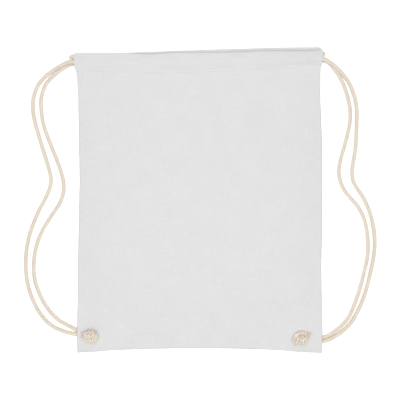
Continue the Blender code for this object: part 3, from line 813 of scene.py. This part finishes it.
# Frayed tails: (base, tip, cord radius there, spread at the tip, number of fibres).
KNOT_TAILS = {
    "left": (
        ((-9.6, 0.4, -2.4), (-15.4, -0.6, -3.4), 1.3, 0.9, 36),
        ((-9.2, 4.4, -2), (-14, 5.4, -3), 1.2, 1.4, 34),
        ((-6.8, 6.8, -2.6), (-9.2, 9.4, -3.2), 1.1, 1.2, 26),
        ((-2.8, 8, -2.6), (-3.4, 12.1, -3.2), 1.3, 1.2, 30),
        ((3.2, 7.8, -2.4), (4.4, 12.7, -3), 1.3, 1.2, 32),
        ((6.8, 6.4, -2.4), (9.8, 9.6, -3), 1.2, 1.2, 26),
        ((8.6, 2.4, -2.4), (12, 2.9, -3.4), 1.1, 1.2, 26),
    ),
    "right": (
        ((8.2, 4.6, 0.4), (15, 8.2, 0.4), 1.3, 0.8, 48),
        ((-8.8, -8, -3), (-10.4, -11.6, -4), 1.6, 1.3, 40),
        ((9.2, 1.6, 0), (12.4, 2.4, -1), 0.9, 1.2, 18),
        ((-10.4, 0, -0.5), (-13.2, 0, -1), 0.9, 1.2, 18),
        ((4.4, -8, -1.6), (4.6, -10.4, -2.6), 1.2, 1.2, 22),
    ),
}


def tuft_parts(centre, reaches, count, lowest, yarn_radius, rng):
    """Yarns whose round tips stand side by side over a dome; their braid heights fall towards their bases,
    painted shade between the yarns.
    """
    parts = []
    steps = np.linspace(0, 1, 10)
    for k in range(count):
        share, angle = math.sqrt((k + 0.5) / count), k * math.pi * (3 - math.sqrt(5))
        out = np.array((share * math.cos(angle), share * math.sin(angle), (1 - share**2) ** 0.4))
        tip = np.array(centre) + out * np.array(reaches) * rng.uniform(0.90, 1.08)
        lean = unit(out + (0, 0, 0.15) + rng.normal(0, 0.20, 3))
        radius = yarn_radius * rng.uniform(0.85, 1.15)
        tone = rng.uniform(0.52, 1)
        if tip[1] < lowest:
            continue
        line = tip - lean * YARN_LENGTH_MM * (1 - steps[:, None])
        line[:, 2] = np.maximum(line[:, 2], KNOT_REST_Z / MM + radius)
        points, faces, uv, _ = tube_parts(line * MM, radius * MM, relief=0.00012, around=12, phase=0.01 * k)
        # painted shade: each yarn's braid height falls from its tip's random tone to -0.4 at its base
        height = np.concatenate([np.repeat(-0.4 + (tone + 0.4) * steps**0.8, 12), [-0.4, tone]])
        parts.append((points, faces, uv, height))
    return parts


def fibre_parts(base, tip, base_radius, spread, count, rng):
    """A frayed tail: fine fibres that leave the cord together and fan out."""
    base, tip = np.array(base), np.array(tip)
    out = unit(tip - base)
    side = unit(np.cross(out, (0.1, 0.2, 1)))
    up = np.cross(side, out)
    parts = []
    steps = np.linspace(0, 1, 7)[:, None]
    for _ in range(count):
        angle, share = rng.uniform(0, 2 * np.pi), math.sqrt(rng.uniform(0, 1))
        across = math.cos(angle) * side + math.sin(angle) * up
        start = base + across * base_radius * share * 0.9
        length = rng.uniform(0.62, 1.05)
        end = base + (tip - base) * length + across * spread * share + rng.normal(0, 0.28, 3)
        middle = (start + end) / 2 + across * rng.uniform(-0.2, 0.5) + rng.normal(0, 0.2, 3)
        line = (1 - steps) ** 2 * start + 2 * steps * (1 - steps) * middle + steps**2 * end
        thick = rng.uniform(0.16, 0.30) * (1 - 0.55 * steps[:, 0])
        parts.append(tube_parts(line * MM, thick * MM, relief=0, around=6, phase=rng.uniform(0, 0.01)))
    return parts


def make_knot(side):
    rng = np.random.default_rng(KNOT_SEEDS[side])
    centre = np.array((*KNOTS[side], KNOT_MIDDLE_Z))
    parts = []
    for k, (radius, points) in enumerate(KNOT_TUBES[side]):
        line = smooth_line(np.array(points) * MM, 0.00045)
        line[:, 2] = np.maximum(line[:, 2], KNOT_REST_Z + radius * MM)
        parts.append(tube_parts(line, radius * MM, relief=0.00055, phase=0.0011 * k, lumps=0.00042))
    radius, points = KNOT_SHADE_TUBE
    # The tube's braid heights are lowered by 1 so that it takes the deep shade colour: painted shade.
    inside = tube_parts(smooth_line(np.array(points) * MM, 0.0009), radius * MM, around=16)
    parts.append((*inside[:3], inside[3] - 1))
    for tuft in KNOT_TUFTS[side]:
        parts += tuft_parts(*tuft, rng)
    for tail in KNOT_TAILS[side]:
        parts += fibre_parts(*tail, rng)
    points, faces, uv, braid = joined(parts)
    obj = mesh_object(f"{side}_overhand_knot", points + centre, faces, CORD, uv, braid)
    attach(obj, f"{side}_knotted_end")
    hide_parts(f"{side}_knot")
    ex, ey = EYELETS[side]
    necks = []
    for offset in (-NECK_OFFSET, NECK_OFFSET):
        line = np.linspace((ex, ey + offset, NECK_BOTTOM), (ex, ey + offset, NECK_TOP), 32)
        necks.append(tube_parts(line, NECK_RADIUS, relief=0.00025, phase=offset))
    neck = cord_object(f"{side}_knot_neck", necks)
    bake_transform(neck)
    return obj


make_cords({side: make_knot(side) for side in SIDES})

# ---- the cloth panels

# Soft folds and dents in the front panel: (x, y, degrees, half length, half width, height), in mm.
FRONT_WRINKLES = np.array((
    (-80, 153, -40, 20, 7, -0.9), (4, 153, -38, 18, 6.5, -0.9), (-100, 110, -48, 75, 11, 0.8),
    (-50, 80, -44, 85, 13, -0.8), (20, 110, -46, 70, 12, 0.7), (90, 130, -35, 60, 10, -0.7),
    (110, 60, 28, 70, 14, 0.6), (60, -20, -50, 80, 15, -0.5), (-110, -10, 60, 70, 14, 0.5),
    (-120, -110, -20, 50, 12, -0.5), (100, -110, 20, 60, 12, 0.5), (0, -130, 5, 80, 13, -0.4),
    (-178, -38, -10, 14, 4, -0.8), (174, -110, 12, 14, 4.5, -0.8), (178, -165, -8, 12, 4, -0.8),
    (-176, 60, 15, 16, 5, 0.6), (176, 30, -15, 16, 5, 0.6), (-76, -201.3, 0, 60, 2.2, 0.6),
    (-130, -214, 84, 10, 2.4, 0.6), (-73, -214, 95, 10, 2.4, 0.6), (40, -215, 88, 9, 2.4, 0.5),
    (-20, 182, 3, 110, 6, -0.4), (100, 186, 8, 70, 6, -0.4), (-140, 180, 4, 45, 6, -0.4),
)) * (MM, MM, 1, MM, MM, MM)


def ridges(x, y, wrinkles):
    total = np.zeros(np.broadcast(x, y).shape)
    for cx, cy, degrees, half_length, half_width, height in wrinkles:
        angle = math.radians(degrees)
        u = (x - cx) * math.cos(angle) + (y - cy) * math.sin(angle)
        v = -(x - cx) * math.sin(angle) + (y - cy) * math.cos(angle)
        bend = v + 0.15 * u * u / half_length
        total += height * np.exp(-((u / half_length) ** 2) - (bend / half_width) ** 2)
    return total


def undulation(x, y, size=0.00011):
    """The slight unevenness of cloth that lies loose."""
    wave = np.sin(x * 71 + 2.1 * np.sin(y * 23)) + np.sin(y * 83 + 1.7 * np.sin(x * 31 + 1.0))
    return size * (wave + 0.7 * np.sin((x + y) * 127 + 1.3) + 0.5 * np.sin((x - 0.6 * y) * 190))


PATCH_LINES = {
    "left": ((-0.1835, -0.1265), (-0.0850, -0.2245)),
    "right": ((0.1835, -0.1300), (0.0850, -0.2235)),
}


def patch_line_distance(x, y):
    return np.minimum(*[segment_distance(x, y, *ends) for ends in PATCH_LINES.values()])


def knot_dimples(x, y):
    """The cloth's small folds round the eyelets, and its dip beside their flanges."""
    total = 0.0
    for cx, cy in EYELETS.values():
        d = np.hypot(x - cx, y - cy)
        around = np.arctan2(y - cy, x - cx)
        ring = ease((d - 0.009) / 0.006) * (1 - ease((d - 0.016) / 0.018))
        folds = 0.00035 * np.sin(around * 5 + 0.6) * ring
        total = total + folds - 0.0002 * np.exp(-(((d - 0.0125) / 0.0042) ** 2))
    return total


EDGE_ROUND = 0.0010
HEM_STEP = 0.0009
PATCH_STEP = 0.00025
PATCH_PUCKER = 0.00035
SEAM_PUCKER = 0.00030


def edge_curl(x, y, most):
    """How far a panel turns down or up into its seams."""
    near = np.clip(1 - np.minimum(side_distance(x, y), y - bottom_edge(x)) / EDGE_ROUND, 0, 1)
    return most * (1 - np.sqrt(1 - near**2 * 0.999))


def front_top(x, y):
    hem = front_hem_line(x)
    z = front_underside(x, y) + CLOTH + HEM_STEP * ease((y - hem + 0.005) / 0.005)
    side = side_distance(x, y)
    calm = ease(side / 0.012) * ease((y - bottom_edge(x)) / 0.008)
    calm = calm * (1 - 0.8 * ease((y - hem + 0.018) / 0.016))
    z = z + (undulation(x, y) + ridges(x, y, FRONT_WRINKLES)) * (0.25 + 0.75 * calm)
    z = z + PATCH_STEP * over_patches(x, y)
    pucker = 1 + 0.5 * np.sin((x - y) * 900)
    z = z - PATCH_PUCKER * pucker * np.exp(-((patch_line_distance(x, y) / 0.0017) ** 2))
    seam = SEAM_PUCKER * np.sin(y * 480 + 3 * np.sin(y * 61)) * np.exp(-(((side - 0.007) / 0.006) ** 2))
    z = z + seam + knot_dimples(x, y) * ease((y + 0.26) / 0.02)
    return z - edge_curl(x, y, 0.0009)


def over_patches(x, y):
    """1 where the corner patches lie, on the corners' side of their sewn edges, and 0 elsewhere."""
    total = 0.0
    for side, ((ax, ay), (bx, by)) in PATCH_LINES.items():
        length = math.hypot(bx - ax, by - ay)
        nx, ny = SIDES[side] * abs(by - ay) / length, -abs(bx - ax) / length
        total = total + ease(((x - ax) * nx + (y - ay) * ny) / 0.004)
    return total


PITCH = 0.0015
SNAP_REACH = 0.00078


def axis_with(stops, pitch):
    """Positions along one axis about pitch apart, with every stop among them."""
    out = []
    for a, b in zip(stops, stops[1:]):
        out += list(np.linspace(a, b, max(2, round((b - a) / pitch) + 1))[:-1])
    return np.array(out + [stops[-1]])


def snap_to_hole(x, y, kept, centre):
    """Moves the grid's points near a round hole onto its edge, and drops the cells inside it."""
    dx, dy = x - centre[0], y - centre[1]
    d = np.hypot(dx, dy)
    near = np.abs(d - HOLE_RADIUS) < SNAP_REACH
    factor = np.where(near, HOLE_RADIUS / np.maximum(d, 1e-6), 1.0)
    x, y = centre[0] + dx * factor, centre[1] + dy * factor
    mid_x = (x[:-1, :-1] + x[1:, 1:] + x[:-1, 1:] + x[1:, :-1]) / 4
    mid_y = (y[:-1, :-1] + y[1:, 1:] + y[:-1, 1:] + y[1:, :-1]) / 4
    return x, y, kept & (np.hypot(mid_x - centre[0], mid_y - centre[1]) > HOLE_RADIUS)


def fit_to_outline(u, y):
    """x from u, which runs from -1 at the left edge through 0 to 1 at the right edge."""
    return np.where(u < 0, -u * left_edge(y), u * right_edge(y))


SKIRT_ROWS = 3


def turned_down(grid):
    """The front panel's grid with more rows and columns outside it, down to the back panel, and its UVs."""
    for axis, ends in ((1, (0, -1)), (0, (0,))):
        for end in ends:
            edge = np.take(grid, [end], axis)
            foot = edge.copy()
            foot[..., 2] = np.minimum(edge[..., 2], back_top(edge[..., 0], edge[..., 1]))
            near = edge.copy()
            near[..., 2] -= np.minimum(0.0003, (edge - foot)[..., 2] / 4)
            skirt = [foot, (foot + edge) / 2, near]
            grid = np.concatenate([*skirt, grid] if end == 0 else [grid, *skirt[::-1]], axis)
    uv = grid[..., :2].copy()
    n = SKIRT_ROWS
    uv[:, :n, 0] -= grid[:, n:n + 1, 2] - grid[:, :n, 2]
    uv[:, -n:, 0] += grid[:, -n - 1:-n, 2] - grid[:, -n:, 2]
    uv[:n, :, 1] -= grid[n:n + 1, :, 2] - grid[:n, :, 2]
    return grid, uv


# Distances of the front panel's last columns and rows from its edges, and its two parts' heights.
FRONT_EDGE_COLUMNS = (0.0068, 0.0056, 0.0045, 0.0035, 0.0026, 0.0018, 0.0011, 0.0005, 0.0)
FRONT_BOTTOM_ROWS = (0, 0.0005, 0.0012, 0.0021, 0.0032, 0.0045)
LOWER_HEIGHT = 0.0713
UPPER_HEIGHT = 0.3515


def make_front():
    near_edge = 1 - np.array([0.03, 0.008]) / BODY_HALF_WIDTH
    at_edge = 1 - np.array(FRONT_EDGE_COLUMNS) / BODY_HALF_WIDTH
    u = mirrored(np.concatenate([axis_with([0.0, *near_edge], PITCH / BODY_HALF_WIDTH), at_edge]))
    v_low = np.concatenate([FRONT_BOTTOM_ROWS, axis_with([0.006, LOWER_HEIGHT], PITCH)]) / LOWER_HEIGHT
    near_hem = axis_with([0.345, UPPER_HEIGHT], 0.0008)
    v_high = np.concatenate([axis_with([0.0, 0.344], PITCH), near_hem]) / UPPER_HEIGHT
    rows_low, rows_high = len(v_low), len(v_high)
    uu = np.broadcast_to(u, (rows_low + rows_high - 1, len(u)))
    y = np.empty_like(uu)
    guess = uu * BODY_HALF_WIDTH
    low = bottom_edge(guess)
    top = front_hem_line(guess) + 0.0002
    y[:rows_low] = low[:rows_low] + (HINGE_Y - low[:rows_low]) * v_low[:, None]
    y[rows_low - 1:] = HINGE_Y + (top[:rows_high] - HINGE_Y) * v_high[:, None]
    x = fit_to_outline(uu, y)
    kept = np.ones((len(x) - 1, len(u) - 1), bool)
    for centre in EYELETS.values():
        x, y, kept = snap_to_hole(x, y, kept, centre)
    grid, uv = turned_down(np.stack([x, y, front_top(x, y)], -1))
    normals = grid_normals(grid)
    kept = np.pad(kept, ((SKIRT_ROWS, 0), (SKIRT_ROWS, SKIRT_ROWS)), constant_values=True)
    kept[:SKIRT_ROWS, :SKIRT_ROWS] = False
    kept[:SKIRT_ROWS, -SKIRT_ROWS:] = False
    split = rows_low - 1 + SKIRT_ROWS
    everything, columns_all = grid.shape[:2]
    middle = columns_all // 2

    def piece(name, rows, columns):
        return sheet_object(
            name, grid[rows, columns], normals[rows, columns], uv[rows, columns], COTTON,
            kept=kept[rows.start:rows.stop - 1, columns.start:columns.stop - 1],
        )

    lower = piece("front_panel_lower_cloth", slice(0, split + 1), slice(0, columns_all))
    left = piece("front_panel_left_cloth", slice(split, everything), slice(0, middle + 1))
    right = piece("front_panel_right_cloth", slice(split, everything), slice(middle, columns_all))
    on_bag(lower, "front_panel_lower")
    for obj, side in ((left, "left"), (right, "right")):
        up_to_front(obj)
        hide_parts("front_panel")
    return lower, left, right


def back_top(x, y):
    return corner_lift(x, y) + CLOTH + edge_curl(x, y, 0.0007)


BACK_HEIGHT = 0.4235


def make_back():
    at_edge = 1 - np.array([0.0040, 0.0026, 0.0016, 0.0008, 0.0]) / BODY_HALF_WIDTH
    u = mirrored(np.concatenate([axis_with([0.0, 0.97], 0.012), at_edge]))
    low_rows = [(0, 0.0008, 0.0018, 0.003), axis_with([0.0045, 0.075], PITCH)]
    v = np.concatenate([*low_rows, axis_with([0.077, BACK_HEIGHT], 2 * PITCH)]) / BACK_HEIGHT
    uu = np.broadcast_to(u, (len(v), len(u)))
    guess = uu * BODY_HALF_WIDTH
    low, top = bottom_edge(guess), between(BACK_HEM, guess)
    y = low + (top - low) * v[:, None]
    x = fit_to_outline(uu, y)
    kept = np.ones((len(v) - 1, len(u) - 1), bool)
    for centre in EYELETS.values():
        x, y, kept = snap_to_hole(x, y, kept, centre)
    grid = np.stack([x, y, back_top(x, y)], -1)
    return flat_sheet("back_panel_cloth", "back_panel", grid, kept)


front_pieces = make_front()
back = make_back()

# ---- the casings

# The casing's height above its floor at the hem, where its layers lie flat.
CASING_LOW = 0.0017


def casing_end(x_share, y, hem):
    """x at a share of -1 to 1 along a casing; its ends narrow towards the hem."""
    taper = ease((hem + 0.011 - y) / 0.011)
    left = CASING_LEFT_END + 0.0018 * taper + 0.0004 * np.sin(y * 900)
    right = CASING_RIGHT_END - 0.0008 * taper + 0.0003 * np.sin(y * 800) - 0.7 * np.maximum(0.0, y - 0.2288)
    return np.where(x_share < 0, -x_share * left, x_share * right)


def casing_crown(x, y, casing):
    """Height of the casing's outer top layer above its floor, clear of the two cords inside."""
    is_front = casing == "front"
    hem, fold = casing_lines(casing, x)
    to_fold = fold - y
    full = 0.0072 + 0.0014 * crossing(x)
    rise = front_casing_rise(x) if is_front else between((0.0135, 0.0084), x)
    soft = 0.00022 * np.sin(x * 210 + 2 * np.sin(x * 57)) + 0.00016 * np.sin(x * 95 + y * 300)
    lift = ease((y - hem) / rise) ** 0.8
    fall = 0.0006 * (1 - ease(to_fold / 0.009))
    if is_front:
        fall = fall + 0.0010 * ease((x + 0.090) / 0.100) * (1 - ease(to_fold / 0.0030))
    else:
        near_fold = 1 - ease((to_fold - 0.004) / 0.012)
        lift = lift * (1 + (0.15 + 0.75 * arch(x, CASING_HALF_LENGTH)) * near_fold)
    return CASING_LOW + (full - CASING_LOW + soft) * lift - fall


def make_casing_grid(casing, x_share):
    """The casing's outer surface: rows go round its section, columns run along it."""
    # (share from hem to fold, 0 on the floor or 1 on the crown)
    bottom = [(s, 0.0) for s in np.linspace(0.0, 0.95, 9)]
    angles = np.linspace(0.15, math.pi - 0.15, 9)
    turn = [(0.95 + 0.05 * math.sin(a), 0.5 - 0.5 * math.cos(a)) for a in angles]
    top = [(s, 1.0) for s in (*np.linspace(0.95, 0.03, 27), 0.017, 0.0)]
    share, rise = np.array(bottom + turn + top).T[..., None]
    hem, fold = casing_lines(casing, x_share * CASING_HALF_LENGTH)
    y = hem + (fold - hem) * share
    x = casing_end(x_share, y, hem)
    y = y - 0.0006 * ease((np.abs(x_share) - 0.988) / 0.012) * ease((share - 0.9) / 0.1)
    grid = np.stack([x, y, casing_floor(x, casing) + casing_crown(x, y, casing) * rise], -1)
    uv = np.stack(np.broadcast_arrays(x, along_line(grid[:, len(x_share) // 2])[:, None]), -1)
    # Rows run the other way round the section, so that the normals point outwards.
    return grid[::-1], uv[::-1]


def make_casings():
    x_share = mirrored(np.concatenate([axis_with([0.0, 0.985], 0.0085), [0.990, 0.994, 0.997, 1.0]]))
    middle = len(x_share) // 2

    def piece(name, casing, columns):
        grid, uv = make_casing_grid(casing, x_share)
        normals = grid_normals(grid, wrap=True)
        return sheet_object(
            name, grid[:, columns], normals[:, columns], uv[:, columns], COTTON, CASING_CLOTH, wrap=True,
        )

    made = {}
    for side, columns in (("left", slice(0, middle + 1)), ("right", slice(middle, len(x_share)))):
        made[side] = up_to_front(piece(f"front_casing_{side}_cloth", "front", columns))
        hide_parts("front_casing")
    made["back"] = on_bag(piece("back_casing_cloth", "back", slice(0, len(x_share))), "back_casing")
    return made


casings = make_casings()

# ---- seams and patches inside the bag


def inner_layer(name, x, y, node, kept=None):
    """A layer of cloth between the two panels."""
    return flat_sheet(name, node, np.stack([x, y, layer_underside(x, y, 1) + CLOTH], -1), kept)


def make_inside():
    made = []
    inset = 0.0026
    for side, edge in (("left", left_edge), ("right", right_edge)):
        v = np.linspace(0, 1, 240)[:, None]
        u = np.linspace(0, 1, 9)[::SIDES[side]]
        y = -0.2270 + (0.193 + 0.2270) * v + 0 * u
        ragged = 0.0003 * np.sin(y * 2100) + 0.0003 * np.sin(y * 910 + 1)
        x = edge(y) - SIDES[side] * (inset + (SEAM_ALLOWANCE + ragged) * (1 - u) - 0.0020 * (1 - u))
        made.append(inner_layer(f"{side}_side_seam_allowance", x, y, f"{side}_side_seam"))
    u = np.linspace(-1, 1, 200)
    v = np.linspace(0, 1, 8)[:, None]
    x = u * 0.1745 + 0 * v
    y = bottom_edge(x) + inset + (SEAM_ALLOWANCE - 0.002 + 0.0003 * np.sin(x * 1900)) * v
    made.append(inner_layer("bottom_seam_allowance", x, y, "bottom_seam"))
    leg = PATCH_LEG - 0.009
    inner = BODY_HALF_WIDTH - 0.0004 - SEAM_ALLOWANCE - GAP
    v = np.linspace(0, 0.985, 62)[:, None]
    for side, sign in SIDES.items():
        u = np.linspace(0, 1, 62)[::sign]
        x = sign * (inner - leg * (1 - u) * (1 - v))
        y = bottom_edge(x) + 0.0004 + SEAM_ALLOWANCE + GAP + leg * v
        x, y, kept = snap_to_hole(x, y, np.ones((61, 61), bool), EYELETS[side])
        made.append(inner_layer(f"{side}_corner_patch_cloth", x, y, f"{side}_corner_patch", kept))
    return made


inside = make_inside()

# ---- stitching

STITCH = 0.0026
STITCH_GAP = 0.0005
THREAD_RADIUS = 0.00030
STITCH_SINK = 0.00022
STITCH_RISE = 0.00034


def stitch_row(ends_line, surface, rng):
    """Stitches along a line of (x, y) points, each one sunk into the cloth at both its ends."""
    line = np.array(ends_line, float)
    reached = along_line(line)
    share = np.linspace(0, 1, 7)
    parts = []
    at = 0.001
    while at + STITCH < reached[-1]:
        x, y = [np.interp(at + STITCH * share, reached, line[:, k]) for k in (0, 1)]
        z = surface(x, y) - STITCH_SINK + STITCH_RISE * np.sin(np.pi * share) ** 0.6
        jitter = rng.normal(0, 0.00006, 2)
        stitch = np.stack([x + jitter[0], y + jitter[1], z], -1)
        parts.append(tube_parts(stitch, THREAD_RADIUS, relief=0.0, around=6, phase=at, round_ends=False))
        at += STITCH + STITCH_GAP
    return parts


def hem_stitches(casing, start, end, rng):
    x = np.linspace(start, end, 120)
    line = np.stack([x, casing_lines(casing, x)[0] + 0.0012], -1)
    return stitch_row(line, lambda x, y: casing_floor(x, casing) + casing_crown(x, y, casing), rng)


def thread_object(name, parts):
    points, faces, uv, _ = joined(parts)
    obj = mesh_object(name, points, faces, THREAD, uv)
    return obj


def make_stitching():
    rng = np.random.default_rng(5)
    low_lines = []
    for side, start, end in (("left", -0.1855, 0.0), ("right", 0.0, 0.1825)):
        parts = hem_stitches("front", start, end, rng)
        high, low = PATCH_LINES[side]
        cut = (HINGE_Y - high[1]) / (low[1] - high[1])
        on_hinge = (high[0] + (low[0] - high[0]) * cut, HINGE_Y)
        parts += stitch_row([high, on_hinge], front_top, rng)
        up_to_front(thread_object(f"front_stitching_{side}", parts))
        low_lines.append((on_hinge, low))
    parts = hem_stitches("back", -0.1855, 0.1825, rng)
    for line in low_lines:
        parts += stitch_row(line, front_top, rng)
    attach(thread_object("bag_stitching", parts), "bag")


make_stitching()

# ---- the eyelets' and washers' metal

for side in SIDES:
    for node in (f"{side}_eyelet", f"{side}_eyelet_washer"):
        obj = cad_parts[node]
        obj.data.materials.clear()
        obj.data.materials.append(METAL)
